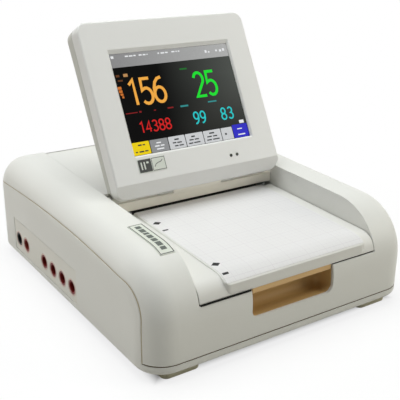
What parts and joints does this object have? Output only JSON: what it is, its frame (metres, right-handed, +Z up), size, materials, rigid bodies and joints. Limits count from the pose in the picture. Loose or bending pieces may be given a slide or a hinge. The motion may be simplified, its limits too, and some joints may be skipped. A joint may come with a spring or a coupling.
{
  "type": "fetal monitor",
  "caption": "Bench-top fetal monitor: rounded cream case with a tilting colour display, a chart-paper table on a sliding drawer, a paper feed roller and side sockets for transducers.",
  "frame": {"origin": "on the ground, under the middle of the case", "axes": "+X to the right of someone facing the screen, +Y to the rear, +Z up"},
  "size_m": [0.286, 0.335, 0.2558],
  "materials": {
    "case_plastic": "fine moulded texture",
    "bezel_plastic": "satin moulding",
    "cover_plastic": "fine moulded texture",
    "table_plastic": "satin moulding",
    "bar_plastic": "fine moulded texture",
    "recess_plastic": "fine moulded texture",
    "grip_plastic": "satin moulding",
    "plate_plastic": "satin",
    "glide_plastic": "slick",
    "rubber": "matte",
    "steel": "bright zinc",
    "socket_panel": "fine moulded texture",
    "red_socket": "satin",
    "brown_socket": "satin",
    "black_socket": "satin",
    "board": "solder resist",
    "sheet_metal": "folded sheet",
    "brass": "turned",
    "gear_plastic": "moulded",
    "motor": "black",
    "paper": "matte paper",
    "screen": "glass",
    "panel": "matte",
    "lens": "clear dark"
  },
  "bodies": {
    "housing": {"lower_case": "case_plastic", "upper_case": "case_plastic", "glide_strips": "glide_plastic", "finger_recess": "recess_plastic", "badge_plate": "plate_plastic", "rubber_feet": "rubber", "case_screws": "steel", "socket_panel": "socket_panel", "fetal_sockets": "red_socket", "maternal_socket": "brown_socket", "pressure_socket": "black_socket", "socket_board": "board", "rear_panel": "sheet_metal", "rear_screws": "steel", "mains_inlet": "black_socket", "inlet_blades": "steel", "ground_stud": "steel", "option_cover": "plate_plastic", "hinge_bar": "bar_plastic", "hinge_block": "bar_plastic", "hinge_pin": "steel", "recorder_chassis": "sheet_metal", "paper_pack": "paper", "bearing_bushes": "brass", "idler_axle": "steel", "paper_motor": "motor", "print_head": "sheet_metal", "main_board": "board", "board_spacers": "steel", "shield_can": "sheet_metal", "power_supply": "sheet_metal", "pressure_pump": "motor", "loudspeaker": "steel", "speaker_cone": "paper"},
    "paper_drawer": {"paper_table": "table_plastic", "chart_paper": "paper", "pull_grip": "grip_plastic"},
    "platen": {"platen_roller": "rubber", "platen_shaft": "steel", "platen_gear": "gear_plastic"},
    "idler": {"idler_gear": "gear_plastic"},
    "pinion": {"motor_pinion": "gear_plastic"},
    "display": {"display_bezel": "bezel_plastic", "display_rear_cover": "cover_plastic", "display_screws": "steel", "indicator_lenses": "lens", "touch_screen": "screen", "lcd_panel": "panel", "display_board": "board", "display_spacers": "steel", "label_plate": "plate_plastic"}
  },
  "joints": [
    {"name": "drawer_slide", "type": "slide", "parent": "housing", "child": "paper_drawer", "axis": [0, -1, 0], "range_m": [0, 0.1]},
    {"name": "platen_spin", "type": "hinge", "parent": "housing", "child": "platen", "pos_m": [0, 0.003, 0.0745], "axis": [1, 0, 0], "continuous": true},
    {"name": "idler_spin", "type": "hinge", "parent": "housing", "child": "idler", "pos_m": [0, 0.003, 0.0553], "axis": [1, 0, 0], "continuous": true},
    {"name": "pinion_spin", "type": "hinge", "parent": "housing", "child": "pinion", "pos_m": [0, 0.003, 0.0393], "axis": [1, 0, 0], "continuous": true},
    {"name": "display_tilt", "type": "hinge", "parent": "housing", "child": "display", "pos_m": [0, -0.0105, 0.1043], "axis": [1, 0, 0], "range_deg": [-58.5, 8]}
  ],
  "couplings": [
    {"joint": "idler_spin", "follows": "platen_spin", "ratio": -1},
    {"joint": "pinion_spin", "follows": "platen_spin", "ratio": 1.5}
  ]
}
